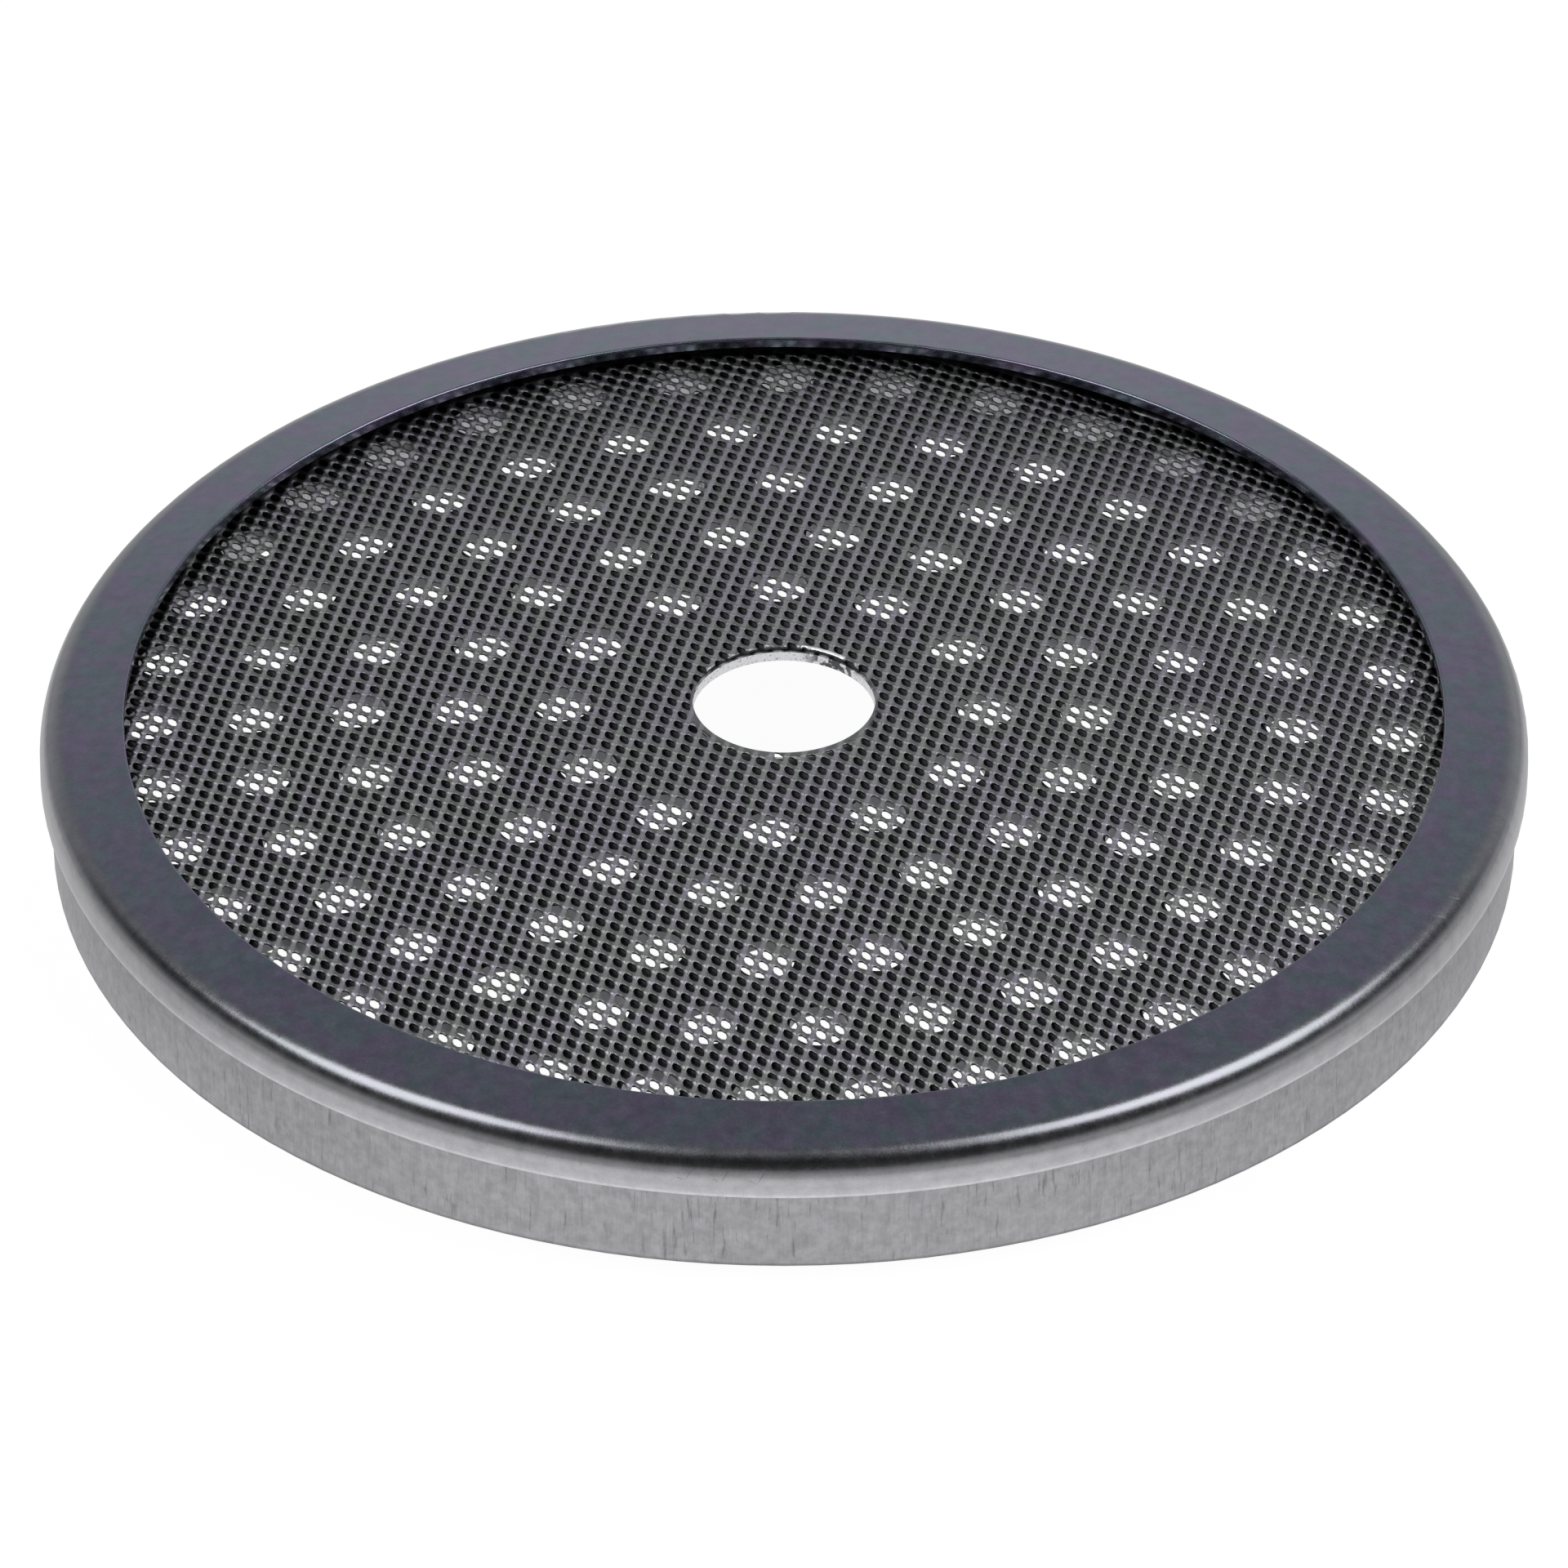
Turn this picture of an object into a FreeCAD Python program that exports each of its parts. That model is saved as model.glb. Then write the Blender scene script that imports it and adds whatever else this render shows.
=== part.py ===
import FreeCAD, Part
import math
import os

# Shower screen of an espresso machine's group head: a drawn steel cup with a domed,
# punched crown, a fine perforated sheet laid over the crown, and a pressed rim ring
# crimped round both. All sizes are in millimetres. Z is the common axis, the foot of
# the cup's skirt lies in the plane z = 0 and the fine sheet faces up.

# Rim ring. Its flange is measured from the ring's outside to the edge of the opening,
# and its slope in degrees, down towards the outside.
ring_diameter = 57.0
ring_wall = 0.4
ring_flange_width = 3.25
ring_flange_slope = 11.0
ring_shoulder_radius = 1.1
ring_lip_height = 0.63
ring_edge_radius = 0.1

# Drilled cup
cup_height = 5.92
cup_wall = 0.4
crown_radius = 245.0
cup_inner_corner_radius = 0.1
cup_foot_radius = 0.1

# Punched pattern: evenly spaced rings, each with six more holes than the one inside it.
# The outermost ring is set in from the inside of the skirt.
hole_diameter = 2.2
hole_rings = 5
holes_in_first_ring = 12
holes_added_per_ring = 6
first_hole_ring_radius = 8.1
hole_pattern_inset = 3.84
pattern_turn = -1.15
pattern_shift = -0.37

# Hole for the fixing screw, through the cup and the fine sheet
centre_hole_diameter = 7.0

# Fine sheet: diamond gaps in staggered rows, turned from the X axis. The real sheet
# has about five thousand of them, at a pitch of 0.76 mm across and 1.0 mm along. Here
# they are coarser, with the same directions, proportions and open share.
sheet_wall = 0.2
sheet_edge_inset = 0.11
gap_pitch_across = 4.93
gap_pitch_along = 6.5
gap_open_share = 0.4
gap_row_turn = 24.1
sheet_plain_border = 1.2
sheet_plain_centre = 0.5

# Clearances between the crimped pieces
crimp_clearance = 0.04
sheet_laid_clearance = 0.03
sheet_crimp_clearance = 0.02

# Derived sizes
ring_radius = ring_diameter / 2
ring_inner_radius = ring_radius - ring_wall
ring_opening_radius = ring_radius - ring_flange_width
shoulder_centre_radius = ring_radius - ring_shoulder_radius
shoulder_inner_radius = ring_shoulder_radius - ring_wall
skirt_radius = ring_inner_radius - crimp_clearance
skirt_inner_radius = skirt_radius - cup_wall
corner_centre_radius = skirt_inner_radius - cup_inner_corner_radius
corner_outer_radius = cup_inner_corner_radius + cup_wall
centre_hole_radius = centre_hole_diameter / 2
last_hole_ring_radius = skirt_inner_radius - hole_pattern_inset
hole_ring_pitch = (last_hole_ring_radius - first_hole_ring_radius) / max(hole_rings - 1, 1)
crown_inner_radius = crown_radius - cup_wall
crown_centre_z = cup_height - crown_radius
sheet_under_radius = crown_radius + sheet_laid_clearance
sheet_top_radius = sheet_under_radius + sheet_wall
sheet_radius = skirt_radius - sheet_edge_inset


def at(radius, z):
    """Point of a half section."""
    return FreeCAD.Vector(radius, 0, z)


def dome_point(dome_radius, radius):
    """Point, at a distance from the axis, on a sphere concentric with the crown."""
    return at(radius, crown_centre_z + math.sqrt(dome_radius ** 2 - radius ** 2))


def arc_point(centre, radius, degrees):
    """Point on a circle of a half section, its angle counted upwards from straight out."""
    angle = math.radians(degrees)
    return centre + at(radius * math.cos(angle), radius * math.sin(angle))


def line(start, end):
    return Part.LineSegment(start, end).toShape()


def arc(centre, radius, start, end):
    """Arc of a half section between two angles in degrees."""
    middle = (start + end) / 2
    points = [arc_point(centre, radius, degrees) for degrees in (start, middle, end)]
    return Part.Arc(*points).toShape()


def dome_arc(dome_radius, end_radius):
    """Arc of a sphere concentric with the crown, from the centre hole outwards."""
    circle = Part.Circle(at(0, crown_centre_z), FreeCAD.Vector(0, -1, 0), dome_radius)
    outer = circle.parameter(dome_point(dome_radius, end_radius))
    inner = circle.parameter(dome_point(dome_radius, centre_hole_radius))
    return circle.toShape(outer, inner)


def revolved(edges):
    """Solid of revolution about Z of a closed half section, its edges in order."""
    section = Part.Face(Part.Wire(edges))
    return section.revolve(FreeCAD.Vector(0, 0, 0), FreeCAD.Vector(0, 0, 1), 360)


def cup_body():
    """Drawn cup with its centre hole: domed crown, tight round corner, straight skirt."""
    centre_distance = crown_inner_radius - cup_inner_corner_radius
    corner = dome_point(centre_distance, corner_centre_radius)
    tangent = math.degrees(math.acos(corner_centre_radius / centre_distance))
    outer_end = arc_point(corner, corner_outer_radius, tangent)
    inner_end = arc_point(corner, cup_inner_corner_radius, tangent)
    foot = at(skirt_radius - cup_foot_radius, cup_foot_radius)
    hole_top = dome_point(crown_radius, centre_hole_radius)
    hole_bottom = dome_point(crown_inner_radius, centre_hole_radius)
    return revolved([
        dome_arc(crown_radius, outer_end.x),
        arc(corner, corner_outer_radius, tangent, 0),
        line(at(skirt_radius, corner.z), at(skirt_radius, foot.z)),
        arc(foot, cup_foot_radius, 0, -90),
        line(at(foot.x, 0), at(skirt_inner_radius, 0)),
        line(at(skirt_inner_radius, 0), at(skirt_inner_radius, corner.z)),
        arc(corner, cup_inner_corner_radius, 0, tangent),
        dome_arc(crown_inner_radius, inner_end.x),
        line(hole_bottom, hole_top),
    ])


def punch(x, y):
    """Cylinder square to the crown at a point of its plan, well through its wall."""
    outward = FreeCAD.Vector(x, y, math.sqrt(crown_radius ** 2 - x ** 2 - y ** 2))
    outward.normalize()
    foot = at(0, crown_centre_z) + outward * (crown_inner_radius - cup_wall)
    return Part.makeCylinder(hole_diameter / 2, 3 * cup_wall, foot, outward)


def punches():
    """A punch for each hole, ring by ring about the pattern's own centre. The sheet was
    punched flat, so the holes are square to the domed crown."""
    tools = []
    for ring in range(hole_rings):
        count = holes_in_first_ring + ring * holes_added_per_ring
        radius = first_hole_ring_radius + ring * hole_ring_pitch
        for index in range(count):
            angle = math.radians(pattern_turn + 360 * index / count)
            x = pattern_shift + radius * math.cos(angle)
            tools.append(punch(x, radius * math.sin(angle)))
    return tools


def sheet_gaps():
    """One diamond prism for each gap that lies whole between centre and border."""
    size = math.sqrt(gap_open_share)
    half_across = size * gap_pitch_across / 2
    half_along = size * gap_pitch_along / 2
    corners = [(half_across, 0), (0, half_along), (-half_across, 0), (0, -half_along)]
    outer_limit = sheet_radius - sheet_plain_border
    inner_limit = centre_hole_radius + sheet_plain_centre
    turn = FreeCAD.Rotation(FreeCAD.Vector(0, 0, 1), gap_row_turn)
    sheet_top = dome_point(sheet_top_radius, 0)
    rows = math.ceil(outer_limit / (gap_pitch_along / 2))
    columns = math.ceil(outer_limit / gap_pitch_across)
    gaps = []
    for row in range(-rows, rows + 1):
        v = row * gap_pitch_along / 2
        for column in range(-columns, columns + 1):
            u = (column + (row % 2) / 2) * gap_pitch_across
            distances = [math.hypot(u + du, v + dv) for du, dv in corners]
            if max(distances) > outer_limit or min(distances) < inner_limit:
                continue
            outline = [turn.multVec(FreeCAD.Vector(u + du, v + dv, 0)) for du, dv in corners]
            face = Part.Face(Part.makePolygon(outline + outline[:1]))
            gaps.append(face.extrude(sheet_top))
    return gaps


def drilled_cup():
    return cup_body().cut(Part.makeCompound(punches())).Solids[0]


def fine_screen():
    """Domed disc laid on the crown, with its gaps and the centre hole."""
    edge_top = dome_point(sheet_top_radius, sheet_radius)
    edge_bottom = dome_point(sheet_under_radius, sheet_radius)
    hole_top = dome_point(sheet_top_radius, centre_hole_radius)
    hole_bottom = dome_point(sheet_under_radius, centre_hole_radius)
    sheet = revolved([
        dome_arc(sheet_top_radius, sheet_radius),
        line(edge_top, edge_bottom),
        dome_arc(sheet_under_radius, sheet_radius),
        line(hole_bottom, hole_top),
    ])
    return sheet.cut(Part.makeCompound(sheet_gaps())).Solids[0]


def rim_ring():
    """Pressed ring: slightly conical flange, round shoulder and short lip round the
    skirt. The inside of the shoulder bears down on the fine sheet's upper edge."""
    reach = shoulder_inner_radius - sheet_crimp_clearance
    overhang = sheet_radius - shoulder_centre_radius
    sheet_edge = dome_point(sheet_top_radius, sheet_radius)
    shoulder = at(shoulder_centre_radius, sheet_edge.z - math.sqrt(reach ** 2 - overhang ** 2))
    square = 90 - ring_flange_slope
    slope = math.radians(ring_flange_slope)
    outer = arc_point(shoulder, ring_shoulder_radius, square)
    inner = arc_point(shoulder, shoulder_inner_radius, square)
    edge_radius = ring_opening_radius + ring_edge_radius
    edge_top = outer.z + (outer.x - edge_radius) * math.tan(slope)
    edge = at(edge_radius, edge_top - ring_edge_radius / math.cos(slope))
    under = at(ring_opening_radius, inner.z + (inner.x - ring_opening_radius) * math.tan(slope))
    lip_z = shoulder.z - ring_lip_height
    return revolved([
        line(under, at(ring_opening_radius, edge.z)),
        arc(edge, ring_edge_radius, 180, square),
        line(arc_point(edge, ring_edge_radius, square), outer),
        arc(shoulder, ring_shoulder_radius, square, 0),
        line(at(ring_radius, shoulder.z), at(ring_radius, lip_z)),
        line(at(ring_radius, lip_z), at(ring_inner_radius, lip_z)),
        line(at(ring_inner_radius, lip_z), at(ring_inner_radius, shoulder.z)),
        arc(shoulder, shoulder_inner_radius, 0, square),
        line(inner, under),
    ])


def main():
    os.makedirs("parts", exist_ok=True)
    nodes = {
        "drilled_cup": drilled_cup(),
        "fine_screen": fine_screen(),
        "rim_ring": rim_ring(),
    }
    for name, shape in nodes.items():
        shape.exportStep(f"parts/{name}.step")
        box = shape.optimalBoundingBox(False, False)
        print(name, round(shape.Volume, 2), "mm3, z", round(box.ZMin, 3), "to", round(box.ZMax, 3))


main()
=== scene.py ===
import math
import random

import bpy
from mathutils import Matrix, Vector
from mathutils.geometry import convex_hull_2d, delaunay_2d_cdt


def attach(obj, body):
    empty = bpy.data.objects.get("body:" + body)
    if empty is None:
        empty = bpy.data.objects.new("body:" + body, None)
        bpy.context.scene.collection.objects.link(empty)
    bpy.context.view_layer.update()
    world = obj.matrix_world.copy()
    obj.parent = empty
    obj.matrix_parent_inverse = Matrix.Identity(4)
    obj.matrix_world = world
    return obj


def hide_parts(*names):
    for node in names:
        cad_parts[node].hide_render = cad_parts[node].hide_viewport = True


MM = 0.001

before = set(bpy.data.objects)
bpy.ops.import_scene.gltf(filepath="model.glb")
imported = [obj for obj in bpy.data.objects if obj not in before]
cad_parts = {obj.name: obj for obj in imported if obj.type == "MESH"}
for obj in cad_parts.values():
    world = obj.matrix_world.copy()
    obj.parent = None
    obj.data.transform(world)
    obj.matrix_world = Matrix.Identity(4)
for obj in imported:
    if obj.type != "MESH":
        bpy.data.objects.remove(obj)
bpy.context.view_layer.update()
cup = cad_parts["drilled_cup"]
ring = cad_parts["rim_ring"]

# Sizes of the fine sheet, as in the part's source, but thinner, so that the view through
# its small holes is as open as the real one's
CROWN_RADIUS = 245.0
CROWN_TOP = 5.92
SHEET_TOP_RADIUS = CROWN_RADIUS + 0.03 + 0.2
SHEET_THICKNESS = 0.07
SHEET_RADIUS = 27.95
CENTRE_HOLE_RADIUS = 3.5
PERFORATED_RADIUS = 25.95

# Sides of the two round edges of the fine sheet
OUTER_SIDES = 180
CENTRE_HOLE_SIDES = 96

# Half section of the ring's outside, as in the part's source: centre of the shoulder's
# arc, the tilt of the flange's normal from level, and where the flange's rounded inner
# edge has ended
SHOULDER_RADIUS = 27.4
SHOULDER_Z = 4.1522
FLANGE_NORMAL = math.radians(79.0)
FLANGE_START = 25.4

# Least cosine between the ring's exact normal and the mesh's: where it is less, the point
# lies on an inner wall or a cut edge and keeps the mesh's own
LIKE_NORMALS = 0.93

# Parts of the cup, for its colours: all of its wall above this height is crown, and the
# punched holes lie within this radius. The skirt's marks are laid out by arc length.
CROWN_LOW_Z = 4.2
PUNCHED_RADIUS = 26.5
SKIRT_RADIUS = 28.0

# A face is level where its normal's height, up or down, is more than this
LEVEL_NORMAL = 0.9

# Lattice of the perforation, seen from above, and a length below that of either step
ROW_STEP = Vector((0.54703, -0.30238))
COLUMN_STEP = Vector((0.14484, 0.61222))
LATTICE_START = Vector((0.12, 0.21))
LEAST_STEP = 0.55
CELL_AREA = ROW_STEP.x * COLUMN_STEP.y - ROW_STEP.y * COLUMN_STEP.x

# Half the long and half the short way across a hole, and a quarter of its outline in
# shares of them
HOLE_LONG = Vector((0.1500, -0.2860))
HOLE_SHORT = Vector((0.1420, 0.1090))
HOLE_QUARTER = ((1.0, 0.0), (0.66, 0.66))

# Spread of the holes' long and short ways, as factors, and of their places
SPREAD_SEED = 7
LONG_SPREAD = (0.95, 1.05)
SHORT_SPREAD = (0.93, 1.07)
PLACE_SPREAD = (-0.008, 0.008)

# Plain rim kept between the centre hole and the small holes, at its sides and at its
# nearest point, and the place and reach of the small hole that breaks through it
CENTRE_RIM = 0.08
CENTRE_RIM_NEAR = 0.30
NOTCH_PLACE = Vector((-0.34, -3.65))
NOTCH_REACH = 0.33

# Behind this Y the centre hole's edge cuts through small holes without a plain rim, except
# those of which it leaves only a sliver. A hole pushed out of the rim goes if its area is
# less than the least.
RAGGED_SIDE_Y = 1.2
SLIVER = 0.1
LEAST_HOLE_AREA = 0.065

# Socket numbers of the Mix node, for colours and for vectors
MIX_COLOUR_A, MIX_COLOUR_B, MIX_COLOUR_OUT = 6, 7, 2
MIX_VECTOR_A, MIX_VECTOR_B, MIX_VECTOR_OUT = 4, 5, 1


def dome_z(dome_radius, x, y):
    """Height in millimetres of a sphere concentric with the crown."""
    return CROWN_TOP - CROWN_RADIUS + math.sqrt(dome_radius**2 - x * x - y * y)


def hole_outline(centre, jitter):
    """Corners of one small hole, a slanting pointed oval, anticlockwise."""
    long_way = HOLE_LONG * jitter.uniform(*LONG_SPREAD)
    short_way = HOLE_SHORT * jitter.uniform(*SHORT_SPREAD)
    middle = centre + Vector((jitter.uniform(*PLACE_SPREAD), jitter.uniform(*PLACE_SPREAD)))
    corners = []
    for turn in range(4):
        for along, across in HOLE_QUARTER:
            for _ in range(turn):
                along, across = -across, along
            corners.append(middle + long_way * along + short_way * across)
    return corners


def rim_limit(place):
    """Radius to which the centre hole's plain rim reaches in the direction of a place."""
    near = max(-place.normalized().y, 0.0)
    return CENTRE_HOLE_RADIUS + CENTRE_RIM + (CENTRE_RIM_NEAR - CENTRE_RIM) * near


def clear_of_centre(corners):
    """Outline pushed out of the centre hole's rim, or None if too little is left."""
    pushed = []
    for corner in corners:
        limit = rim_limit(corner)
        pushed.append(corner if corner.length > limit else corner.normalized() * limit)
    hull = [pushed[k] for k in convex_hull_2d(pushed)]
    area = 0.0
    for here, there in zip(hull, hull[1:] + hull[:1]):
        area += (here.x * there.y - here.y * there.x) / 2
    return hull if area > LEAST_HOLE_AREA else None


def small_holes():
    """Outlines of the small holes by their row and column in the lattice."""
    jitter = random.Random(SPREAD_SEED)
    holes = {}
    reach = int(PERFORATED_RADIUS / LEAST_STEP) + 2
    for i in range(-reach, reach + 1):
        for j in range(-reach, reach + 1):
            centre = LATTICE_START + ROW_STEP * i + COLUMN_STEP * j
            corners = hole_outline(centre, jitter)
            far = max(corner.length for corner in corners)
            near = min(corner.length for corner in corners)
            if far > PERFORATED_RADIUS or far < CENTRE_HOLE_RADIUS:
                continue
            at_rim = near < rim_limit(centre) and (centre - NOTCH_PLACE).length > NOTCH_REACH
            if at_rim and (centre.y < RAGGED_SIDE_Y or far < CENTRE_HOLE_RADIUS + SLIVER):
                corners = clear_of_centre(corners)
            if corners:
                holes[(i, j)] = corners
    return holes


def inside_convex(point, corners):
    """True if the point lies within the corners, which run anticlockwise."""
    for here, there in zip(corners, corners[1:] + corners[:1]):
        side = there - here
        if side.x * (point.y - here.y) - side.y * (point.x - here.x) < 0:
            return False
    return True


def circle_points(radius, count):
    turn = 2 * math.pi / count
    return [Vector((radius * math.cos(k * turn), radius * math.sin(k * turn))) for k in range(count)]


def flat_sheet(holes):
    """Points and anticlockwise triangles of the sheet laid flat, without its holes."""
    centre_hole = circle_points(CENTRE_HOLE_RADIUS, CENTRE_HOLE_SIDES)
    points = []
    edges = []
    for loop in [circle_points(SHEET_RADIUS, OUTER_SIDES), centre_hole, *holes.values()]:
        start = len(points)
        points.extend(loop)
        count = len(loop)
        edges.extend((start + k, start + (k + 1) % count) for k in range(count))
    flat, _, faces, _, _, _ = delaunay_2d_cdt(points, edges, [], 0, 1e-6)

    def is_sheet(centre):
        if centre.length < CENTRE_HOLE_RADIUS and inside_convex(centre, centre_hole):
            return False
        rest = centre - LATTICE_START
        i = math.floor((rest.x * COLUMN_STEP.y - rest.y * COLUMN_STEP.x) / CELL_AREA)
        j = math.floor((ROW_STEP.x * rest.y - ROW_STEP.y * rest.x) / CELL_AREA)
        for cell in ((i, j), (i, j + 1), (i + 1, j), (i + 1, j + 1)):
            if cell in holes and inside_convex(centre, holes[cell]):
                return False
        return True

    kept = []
    for face in faces:
        a, b, c = (flat[k] for k in face)
        if (b.x - a.x) * (c.y - a.y) - (b.y - a.y) * (c.x - a.x) < 0:
            face = [face[0], face[2], face[1]]
        if is_sheet((a + b + c) / 3):
            kept.append(tuple(face))
    return flat, kept


def perforated_sheet():
    """Domed sheet with all its small holes, cut by the centre hole's edge as the real one is."""
    holes = small_holes()
    flat, kept = flat_sheet(holes)
    used = sorted({k for face in kept for k in face})
    place = {k: n for n, k in enumerate(used)}
    count = len(used)
    top = []
    bottom = []
    for k in used:
        x, y = flat[k]
        top.append((x * MM, y * MM, dome_z(SHEET_TOP_RADIUS, x, y) * MM))
        low = dome_z(SHEET_TOP_RADIUS - SHEET_THICKNESS, x, y)
        bottom.append((x * MM, y * MM, low * MM))
    faces_top = [tuple(place[k] for k in face) for face in kept]
    faces_bottom = [(c + count, b + count, a + count) for a, b, c in faces_top]
    directed = {(face[k], face[(k + 1) % 3]) for face in faces_top for k in range(3)}
    walls = [(b, a, a + count, b + count) for a, b in directed if (b, a) not in directed]
    walls.sort()
    mesh = bpy.data.meshes.new("perforated_sheet")
    mesh.from_pydata(top + bottom, [], faces_top + faces_bottom + walls)
    mesh.validate()
    mesh.shade_smooth()
    piece = bpy.data.objects.new("perforated_sheet", mesh)
    bpy.context.scene.collection.objects.link(piece)
    print("sheet holes", len(holes), "triangles", len(faces_top) * 2 + len(walls) * 2)
    return piece


class Nodes:
    """Short calls to build one node tree."""

    def __init__(self, owner):
        owner.use_nodes = True
        self.tree = owner.node_tree
        self.tree.nodes.clear()

    def add(self, kind, inputs=(), **settings):
        node = self.tree.nodes.new(kind)
        for name, value in settings.items():
            setattr(node, name, value)
        for name, value in dict(inputs).items():
            self.put(node.inputs[name], value)
        return node

    def put(self, socket, value):
        if isinstance(value, bpy.types.NodeSocket):
            self.tree.links.new(value, socket)
        else:
            socket.default_value = value

    def math(self, operation, *values):
        node = self.tree.nodes.new("ShaderNodeMath")
        node.operation = operation
        for socket, value in zip(node.inputs, values):
            self.put(socket, value)
        return node.outputs[0]

    def plus(self, first, second):
        return self.math("ADD", first, second)

    def minus(self, first, second):
        return self.math("SUBTRACT", first, second)

    def times(self, first, second):
        return self.math("MULTIPLY", first, second)

    def absolute(self, value):
        return self.math("ABSOLUTE", value)

    def above(self, value, limit):
        """1 where the value is more than the limit, else 0."""
        return self.math("GREATER_THAN", value, limit)

    def below(self, value, limit):
        """1 where the value is less than the limit, else 0."""
        return self.math("LESS_THAN", value, limit)

    def remap(self, value, low, high, to_low, to_high):
        inputs = {"Value": value, "From Min": low, "From Max": high, "To Min": to_low, "To Max": to_high}
        return self.add("ShaderNodeMapRange", inputs).outputs[0]

    def mix_colour(self, factor, first, second, blend="MIX"):
        node = self.add("ShaderNodeMix", data_type="RGBA", blend_type=blend)
        self.put(node.inputs[0], factor)
        self.put(node.inputs[MIX_COLOUR_A], first)
        self.put(node.inputs[MIX_COLOUR_B], second)
        return node.outputs[MIX_COLOUR_OUT]

    def toned(self, colour, tone):
        """Colour made lighter or darker by a factor."""
        return self.mix_colour(1.0, colour, self.vector(tone, tone, tone), "MULTIPLY")

    def mix_vector(self, factor, first, second):
        node = self.add("ShaderNodeMix", data_type="VECTOR")
        self.put(node.inputs[0], factor)
        self.put(node.inputs[MIX_VECTOR_A], first)
        self.put(node.inputs[MIX_VECTOR_B], second)
        return node.outputs[MIX_VECTOR_OUT]

    def vector(self, x, y, z):
        return self.add("ShaderNodeCombineXYZ", {"X": x, "Y": y, "Z": z}).outputs[0]

    def parts(self, vector):
        """X, Y and Z of a vector."""
        return self.add("ShaderNodeSeparateXYZ", {0: vector}).outputs

    def noise(self, place, scale, detail=3.0, roughness=0.55):
        inputs = {"Vector": place, "Scale": scale, "Detail": detail, "Roughness": roughness}
        return self.add("ShaderNodeTexNoise", inputs).outputs[0]

    def object_place(self):
        return self.add("ShaderNodeTexCoord").outputs["Object"]

    def round_place(self):
        """Object coordinates in millimetres, as plain, and as angle, radius and height."""
        metres = self.object_place()
        scaled = self.add("ShaderNodeVectorMath", {0: metres, "Scale": 1000.0}, operation="SCALE")
        place = scaled.outputs[0]
        x, y, z = self.parts(place)
        radius = self.math("SQRT", self.plus(self.times(x, x), self.times(y, y)))
        return place, self.math("ARCTAN2", y, x), radius, z

    def normal_height(self):
        """Z of the face's own normal: 1 on level faces that look up."""
        return self.parts(self.add("ShaderNodeNewGeometry").outputs["True Normal"])[2]

    def rays(self):
        return self.add("ShaderNodeLightPath").outputs

    def finish(self, kind, shader):
        output = self.add(kind)
        self.tree.links.new(shader.outputs[0], output.inputs[0])


def grey(value, tint=(1.0, 1.0, 1.0)):
    return (value * tint[0], value * tint[1], value * tint[2], 1.0)


def ring_normal(nodes, angle, radius, z):
    """Normal of the ring's outside from its half section, smoother than that of the CAD mesh."""
    across = nodes.minus(radius, SHOULDER_RADIUS)
    up = nodes.minus(z, SHOULDER_Z)
    tilt = nodes.math("MAXIMUM", nodes.math("ARCTAN2", up, across), 0.0)
    tilt = nodes.math("MINIMUM", tilt, FLANGE_NORMAL)
    out = nodes.math("COSINE", tilt)
    x = nodes.times(out, nodes.math("COSINE", angle))
    y = nodes.times(out, nodes.math("SINE", angle))
    local = nodes.vector(x, y, nodes.math("SINE", tilt))
    settings = {"vector_type": "NORMAL", "convert_from": "OBJECT", "convert_to": "WORLD"}
    exact = nodes.add("ShaderNodeVectorTransform", {0: local}, **settings).outputs[0]
    geometry = nodes.add("ShaderNodeNewGeometry").outputs
    both = {0: exact, 1: geometry["True Normal"]}
    likeness = nodes.add("ShaderNodeVectorMath", both, operation="DOT_PRODUCT").outputs["Value"]
    outside = nodes.above(likeness, LIKE_NORMALS)
    past_edge = nodes.above(radius, FLANGE_START)
    return nodes.mix_vector(nodes.times(outside, past_edge), geometry["Normal"], exact)


def finish_metal(nodes, colour, roughness, height, bump_distance, normal=None):
    bump = nodes.add("ShaderNodeBump", {"Strength": 1.0, "Distance": bump_distance, "Height": height})
    if normal:
        nodes.put(bump.inputs["Normal"], normal)
    shader = nodes.add(
        "ShaderNodeBsdfPrincipled",
        {"Base Color": colour, "Roughness": roughness, "Normal": bump.outputs[0], "Metallic": 1.0},
    )
    nodes.finish("ShaderNodeOutputMaterial", shader)


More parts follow.
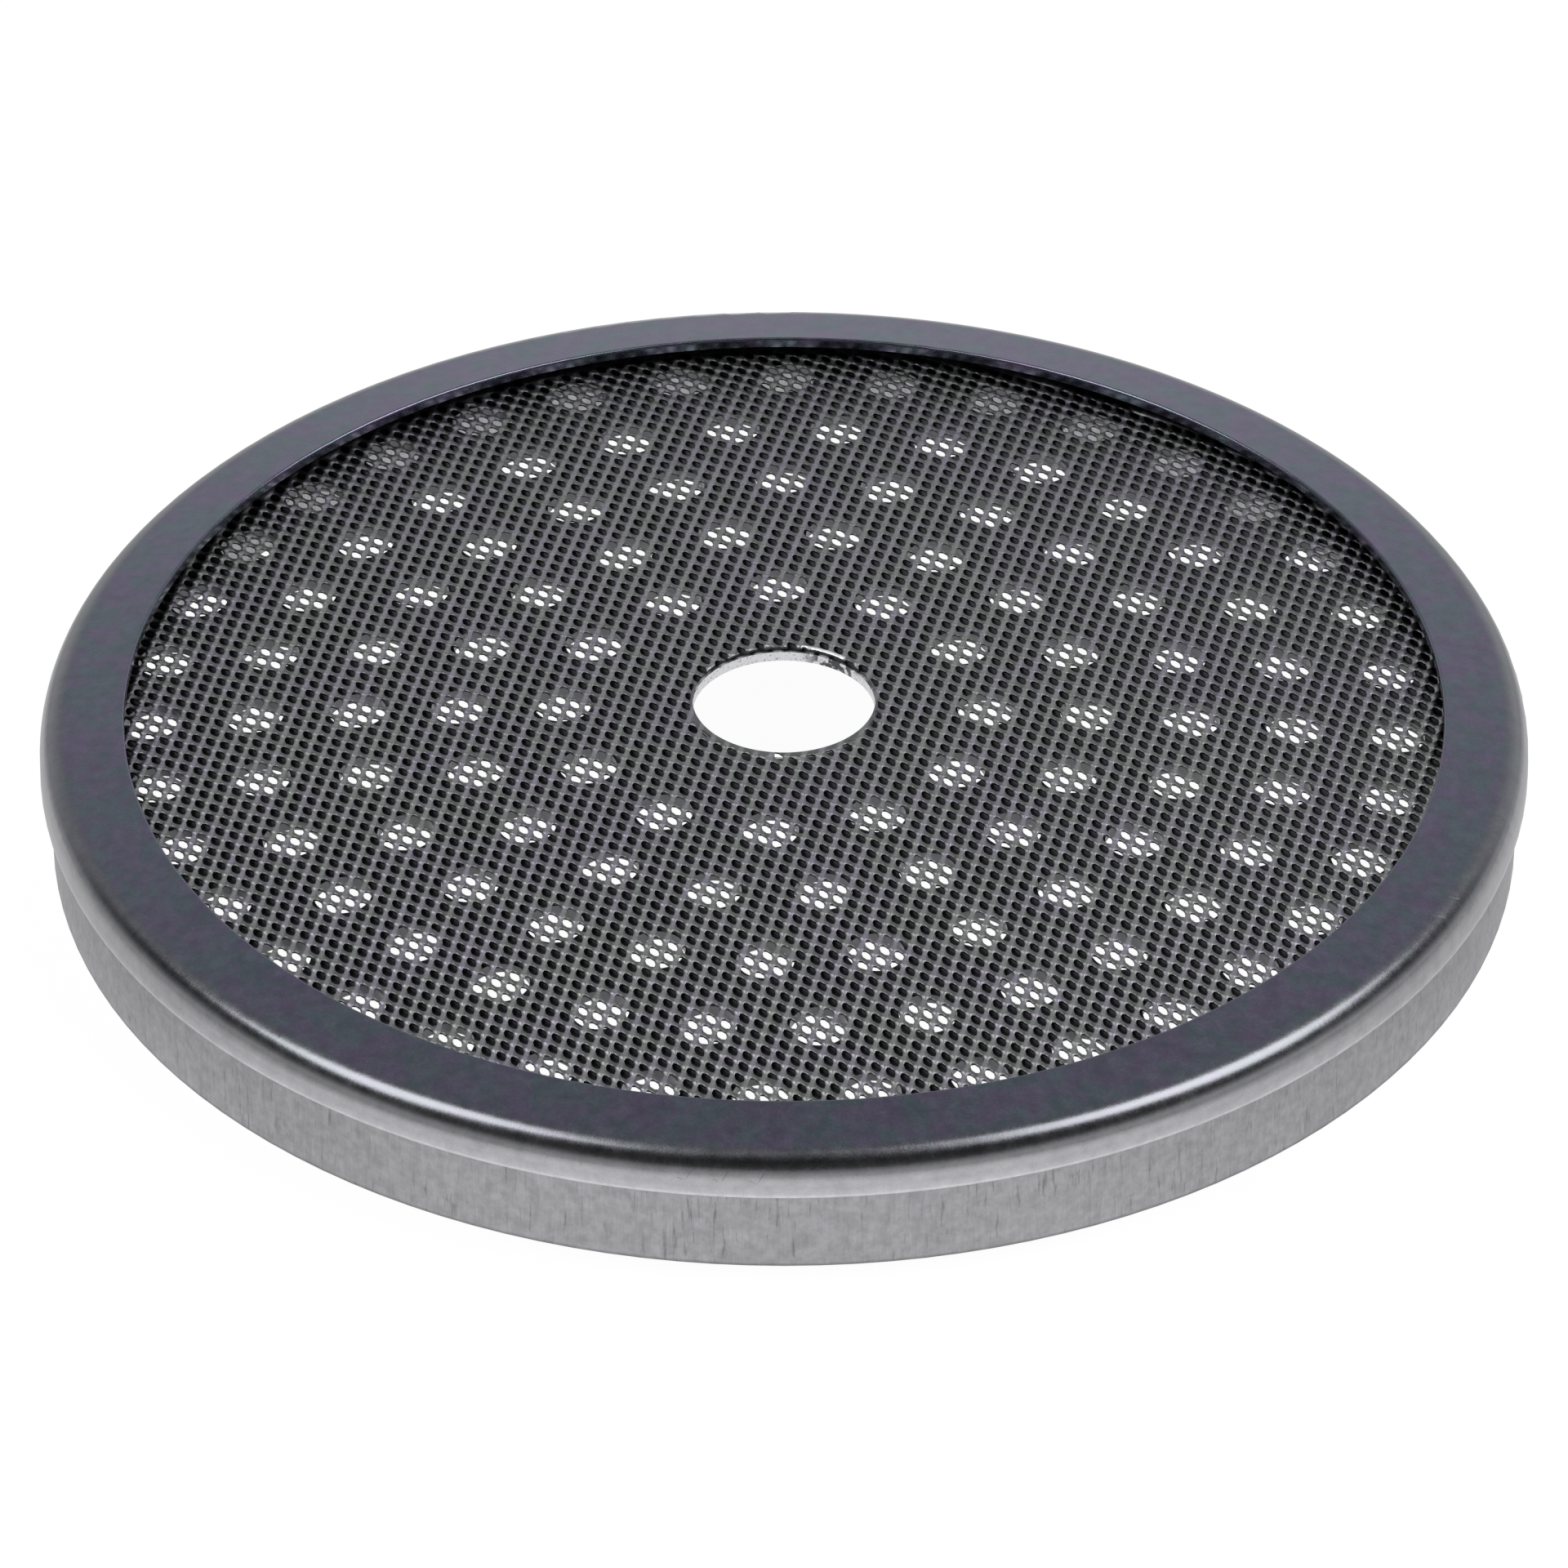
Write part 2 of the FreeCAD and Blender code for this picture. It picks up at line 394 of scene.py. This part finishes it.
def ring_steel():
    """Satin pressed sheet: blue-grey on the flange with a dark base that is painted shade, and a far
    paler base round the lip that is painted light.
    """
    material = bpy.data.materials.new("ring_steel")
    nodes = Nodes(material)
    place, angle, radius, z = nodes.round_place()
    cloud = nodes.noise(place, 0.35, 3.0)
    blotch = nodes.noise(place, 1.7, 3.0, 0.6)
    grain = nodes.noise(place, 9.0, 4.0, 0.7)

    # Blue and violet patches on the flange, neutral on the shoulder, pale on the lip: the flange's dark
    # base is painted shade and the lip's pale one painted light
    hue = nodes.remap(nodes.noise(place, 0.8, 4.0, 0.6), 0.42, 0.58, 0.0, 1.0)
    blue = grey(0.172, (0.82, 0.98, 1.15))
    violet = grey(0.172, (0.98, 0.87, 1.28))
    neutral = grey(0.175, (0.99, 1.0, 1.04))
    on_shoulder = nodes.remap(radius, 27.5, 27.85, 0.0, 0.75)
    upper = nodes.mix_colour(on_shoulder, nodes.mix_colour(hue, blue, violet), neutral)
    # Painted light: the lip's base is far paler than the flange's, standing in for the bright floor it
    # reflects
    lip = nodes.mix_colour(cloud, grey(0.41, (0.99, 0.98, 1.05)), grey(0.46, (0.99, 0.99, 1.03)))
    lip_painted_light = nodes.remap(z, 4.92, 4.66, 0.0, 1.0)
    base = nodes.mix_colour(lip_painted_light, upper, lip)

    # Uneven tone, and painted light: lighter towards the lip's lower edge, with a painted glint along
    # the edge itself
    blotched = nodes.remap(blotch, 0.3, 0.7, 0.9, 1.1)
    grained = nodes.remap(grain, 0.3, 0.7, 0.93, 1.07)
    lip_foot_painted_light = nodes.remap(z, 3.60, 3.95, 1.2, 1.0)
    lip_edge_painted_glint = nodes.remap(z, 3.60, 3.66, 1.15, 1.0)
    tone = nodes.times(nodes.times(blotched, grained), nodes.times(lip_foot_painted_light, lip_edge_painted_glint))
    rough = nodes.remap(nodes.plus(grain, blotch), 0.7, 1.3, 0.22, 0.30)
    wave = nodes.noise(nodes.vector(nodes.times(angle, 40.0), z, 0.0), 1.0, 3.0, 0.6)
    height = nodes.plus(nodes.times(grain, 0.6), wave)
    normal = ring_normal(nodes, angle, radius, z)
    finish_metal(nodes, nodes.toned(base, tone), rough, height, 0.000004, normal)
    return material


def skirt_marks(nodes, arc, z, scale_round, scale_up, start, detail, roughness):
    """Noise drawn out up the skirt, each kind of mark with a start of its own."""
    place = nodes.vector(nodes.times(arc, scale_round), nodes.times(z, scale_up), start)
    return nodes.noise(place, 1.0, detail, roughness)


def cup_steel():
    """Drawn sheet steel: fine upright marks on the skirt, plain satin elsewhere, with painted shade on
    the crown under the sheet and painted light on the centre hole's wall.
    """
    material = bpy.data.materials.new("cup_steel")
    nodes = Nodes(material)
    place, angle, radius, z = nodes.round_place()
    cloud = nodes.noise(place, 0.5, 3.0)
    grain = nodes.noise(place, 11.0, 4.0, 0.7)

    # Skirt: soft streaks, scratches in groups, mottle, and painted shade darkening its foot where it
    # stands on the floor
    arc = nodes.times(angle, SKIRT_RADIUS)
    marks = skirt_marks(nodes, arc, z, 5.0, 0.35, 0.0, 5.0, 0.7)
    marks_fine = skirt_marks(nodes, arc, z, 14.0, 0.8, 3.0, 3.0, 0.7)
    streaks = nodes.plus(nodes.times(marks, 0.6), nodes.times(marks_fine, 0.4))
    soft = nodes.remap(streaks, 0.36, 0.62, 0.89, 1.06)
    scratch = nodes.remap(skirt_marks(nodes, arc, z, 6.0, 0.6, 7.0, 3.0, 0.6), 0.33, 0.43, 0.34, 0.0)
    group = nodes.remap(skirt_marks(nodes, arc, z, 0.35, 0.25, 11.0, 2.0, 0.5), 0.42, 0.58, 0.35, 1.0)
    scratched = nodes.minus(1.0, nodes.times(scratch, group))
    mottle = nodes.remap(nodes.noise(place, 2.2, 4.0, 0.65), 0.35, 0.65, 0.86, 1.1)
    # Painted shade along the foot, where the skirt meets the floor
    foot_painted_shade = nodes.remap(z, 0.06, 0.2, 0.55, 1.0)
    tone = nodes.times(nodes.times(soft, scratched), nodes.times(mottle, foot_painted_shade))
    skirt = nodes.mix_colour(cloud, grey(0.34, (0.99, 0.98, 1.04)), grey(0.40, (0.99, 0.99, 1.03)))

    # Painted shade: the crown under the sheet and the walls of its punched holes get dark bases for the
    # shade beneath the sheet
    up = nodes.normal_height()
    crown_painted_shade = nodes.times(nodes.above(up, LEVEL_NORMAL), nodes.above(z, CROWN_LOW_Z))
    shaded = nodes.mix_colour(crown_painted_shade, nodes.toned(skirt, tone), grey(0.085, (0.95, 0.95, 1.1)))
    in_wall = nodes.times(nodes.below(radius, PUNCHED_RADIUS), nodes.above(z, CROWN_LOW_Z))
    upright = nodes.minus(1.0, nodes.above(nodes.absolute(up), LEVEL_NORMAL))
    punched_walls_painted_shade = nodes.times(in_wall, upright)
    shaded = nodes.mix_colour(punched_walls_painted_shade, shaded, grey(0.12, (0.98, 0.98, 1.05)))

    # Wall of the centre hole: painted light, a base far lighter than the rest of the cup's, standing in
    # for the bright floor it reflects, darkly fretted at its right back
    hole_wall_painted_light = nodes.below(radius, CENTRE_HOLE_RADIUS + 0.1)
    burr_place = nodes.vector(nodes.times(angle, 8.0), nodes.times(z, 2.0), 5.0)
    burrs = nodes.remap(nodes.noise(burr_place, 1.0, 2.0, 0.6), 0.46, 0.52, 1.0, 0.12)
    bright_angle = 0.98
    ragged = nodes.remap(nodes.absolute(nodes.minus(angle, bright_angle)), 0.2, 0.42, 1.0, 0.0)
    fretted = nodes.minus(1.0, nodes.times(ragged, nodes.minus(1.0, burrs)))
    spots = nodes.times(nodes.remap(grain, 0.36, 0.46, 0.35, 1.0), fretted)
    colour = nodes.mix_colour(hole_wall_painted_light, shaded, nodes.toned(grey(0.72, (1.0, 1.0, 1.03)), spots))
    rough = nodes.remap(nodes.plus(grain, streaks), 0.7, 1.3, 0.28, 0.42)
    height = nodes.plus(nodes.times(grain, 0.3), streaks)
    finish_metal(nodes, colour, rough, height, 0.000006)
    return material


def screen_steel():
    """Fine sheet: grey satin webs with slight changes of tint."""
    material = bpy.data.materials.new("screen_steel")
    nodes = Nodes(material)
    place, angle, radius, _ = nodes.round_place()
    cloud = nodes.noise(place, 0.22, 3.0)
    patch = nodes.noise(place, 1.3, 3.0, 0.6)
    grain = nodes.noise(place, 8.0, 4.0, 0.7)
    hue = nodes.remap(nodes.plus(cloud, patch), 0.88, 1.12, 0.0, 1.0)
    tinted = nodes.mix_colour(hue, grey(0.236, (0.97, 1.02, 0.97)), grey(0.236, (1.0, 0.95, 1.10)))

    # Painted light and shade: webs between the columns of holes are painted lighter than the bars within
    # a column, for how they catch the light
    x, y, _ = nodes.parts(place)
    across = nodes.times(nodes.minus(x, LATTICE_START.x), COLUMN_STEP.y / CELL_AREA)
    along = nodes.times(nodes.minus(y, LATTICE_START.y), COLUMN_STEP.x / CELL_AREA)
    column = nodes.minus(across, along)
    off = nodes.absolute(nodes.minus(column, nodes.math("ROUND", column)))
    webs_painted_light_and_shade = nodes.remap(off, 0.26, 0.42, 0.66, 1.25)
    tone = nodes.remap(nodes.plus(patch, grain), 0.7, 1.3, 0.8, 1.2)
    # Painted shade: the walls of the holes and of the sheet's edges are darkened
    level = nodes.remap(nodes.absolute(nodes.normal_height()), 0.4, 0.8, 0.3, 1.0)
    shade = nodes.times(nodes.times(tone, level), webs_painted_light_and_shade)

    # Painted glint: a near-white stretch of the centre hole's edge, at a burr there
    past_edge = nodes.above(radius, CENTRE_HOLE_RADIUS + 0.01)
    at_edge = nodes.times(past_edge, nodes.below(radius, CENTRE_HOLE_RADIUS + 0.18))
    stretch = nodes.times(nodes.above(angle, 0.87), nodes.below(angle, 1.38))
    burr_painted_glint = nodes.times(at_edge, stretch)
    colour = nodes.mix_colour(burr_painted_glint, nodes.toned(tinted, shade), grey(0.95))
    rough = nodes.remap(grain, 0.3, 0.7, 0.32, 0.5)
    finish_metal(nodes, colour, rough, grain, 0.000004)
    return material


def paint(target, material):
    target.data.materials.clear()
    target.data.materials.append(material)


def white_shows(nodes):
    """1 for the rays that see the background as white: camera, glossy and transmission."""
    rays = nodes.rays()
    seen = nodes.math("MAXIMUM", rays["Is Camera Ray"], rays["Is Glossy Ray"])
    return nodes.math("MAXIMUM", seen, rays["Is Transmission Ray"])


def floor_paper():
    """White paper. What metal sees of it is darker to the sides, and far off in front."""
    material = bpy.data.materials.new("floor")
    nodes = Nodes(material)
    paper = nodes.add("ShaderNodeBsdfDiffuse", {"Color": (0.8, 0.8, 0.8, 1.0)})
    x, y, _ = nodes.parts(nodes.object_place())
    from_centre = nodes.math("SQRT", nodes.plus(nodes.times(x, x), nodes.times(y, y)))
    towards_back = nodes.times(nodes.math("MAXIMUM", y, 0.0), 1.2)
    nearer = nodes.remap(nodes.minus(from_centre, towards_back), 0.034, 0.060, 1.0, 0.5)
    beside = nodes.remap(nodes.absolute(x), 0.012, 0.030, 1.0, 0.8)
    at_ends = nodes.remap(nodes.absolute(x), 0.0250, 0.0285, 1.0, 0.82)
    seen = nodes.times(nearer, nodes.times(beside, at_ends))
    strength = nodes.math("MAXIMUM", seen, nodes.rays()["Is Camera Ray"])
    light = nodes.add("ShaderNodeEmission", {"Color": (1.0, 1.0, 1.0, 1.0)})
    nodes.put(light.inputs["Strength"], nodes.times(strength, 1.06))
    share = nodes.times(white_shows(nodes), 0.9)
    mix = nodes.add("ShaderNodeMixShader", {0: share, 1: paper.outputs[0], 2: light.outputs[0]})
    nodes.finish("ShaderNodeOutputMaterial", mix)
    return material


def make_floor():
    mesh = bpy.data.meshes.new("floor")
    half = 3.0
    low = -0.00002
    corners = [(-half, -half, low), (half, -half, low), (half, half, low), (-half, half, low)]
    mesh.from_pydata(corners, [], [(0, 1, 2, 3)])
    mesh.materials.append(floor_paper())
    floor = bpy.data.objects.new("floor", mesh)
    bpy.context.scene.collection.objects.link(floor)


def make_world():
    """White where the camera looks past the floor; for metal, pale low down and darker overhead."""
    world = bpy.data.worlds.new("studio")
    bpy.context.scene.world = world
    nodes = Nodes(world)
    side, back, up = nodes.parts(nodes.add("ShaderNodeTexCoord").outputs["Generated"])
    behind = nodes.remap(up, 0.1, 0.95, 0.87, 0.27)
    before = nodes.remap(up, 0.0, 0.45, 0.56, 0.05)
    share = nodes.remap(nodes.minus(nodes.absolute(side), back), 0.05, 0.45, 0.0, 1.0)
    round_about = nodes.plus(behind, nodes.times(nodes.minus(before, behind), share))
    strength = nodes.times(round_about, nodes.remap(side, -1.0, 1.0, 0.92, 1.12))
    soft = nodes.add("ShaderNodeBackground", {"Color": (0.97, 0.98, 1.0, 1.0), "Strength": strength})
    white = nodes.add("ShaderNodeBackground", {"Color": (1.0, 1.0, 1.0, 1.0), "Strength": 1.0})
    seen = nodes.rays()["Is Camera Ray"]
    mix = nodes.add("ShaderNodeMixShader", {0: seen, 1: soft.outputs[0], 2: white.outputs[0]})
    nodes.finish("ShaderNodeOutputWorld", mix)


def soft_box(name, place, long_way, width, height, radiance):
    """Rectangular lamp aimed at the part, its width along the given direction."""
    data = bpy.data.lights.new(name, "AREA")
    data.shape = "RECTANGLE"
    data.size = width
    data.size_y = height
    data.energy = radiance * math.pi * width * height
    lamp = bpy.data.objects.new(name, data)
    bpy.context.scene.collection.objects.link(lamp)
    z_axis = Vector(place).normalized()
    y_axis = z_axis.cross(Vector(long_way)).normalized()
    x_axis = y_axis.cross(z_axis)
    turn = Matrix((x_axis, y_axis, z_axis)).transposed()
    lamp.matrix_world = Matrix.Translation(Vector(place)) @ turn.to_4x4()


def make_camera():
    """Long lens at the photo's height, aimed a little below the flange's centre."""
    elevation = math.radians(35.2)
    distance = 0.78125
    sensor_width = 36.0
    frame_width = 0.060
    pixels_per_metre = 32000.0
    pixels_above_middle = 91.5
    data = bpy.data.cameras.new("camera")
    data.sensor_width = sensor_width
    data.lens = sensor_width * distance / frame_width
    data.clip_start = 0.01
    camera = bpy.data.objects.new("camera", data)
    bpy.context.scene.collection.objects.link(camera)
    flange_centre = Vector((0.0, 0.0, 0.00567))
    back = Vector((0.0, -math.cos(elevation), math.sin(elevation)))
    camera.location = flange_centre + back * distance
    below = math.atan(pixels_above_middle / (distance * pixels_per_metre))
    camera.rotation_euler = (math.pi / 2 - elevation - below, 0.0, 0.0)
    bpy.context.scene.camera = camera


sheet = perforated_sheet()
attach(sheet, "root")
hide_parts("fine_screen")
paint(sheet, screen_steel())
paint(cup, cup_steel())
paint(ring, ring_steel())

make_floor()
make_world()
soft_box(
    "box_right",
    place=(0.2190, 0.0050, 0.3450),
    long_way=(0.78, 0.36, -0.51),
    width=0.26,
    height=0.19,
    radiance=5.0,
)
soft_box(
    "box_left",
    place=(-0.2125, -0.018, 0.3596),
    long_way=(-0.84, 0.0, -0.53),
    width=0.225,
    height=0.19,
    radiance=5.0,
)
make_camera()

scene = bpy.context.scene
scene.view_settings.view_transform = "Standard"
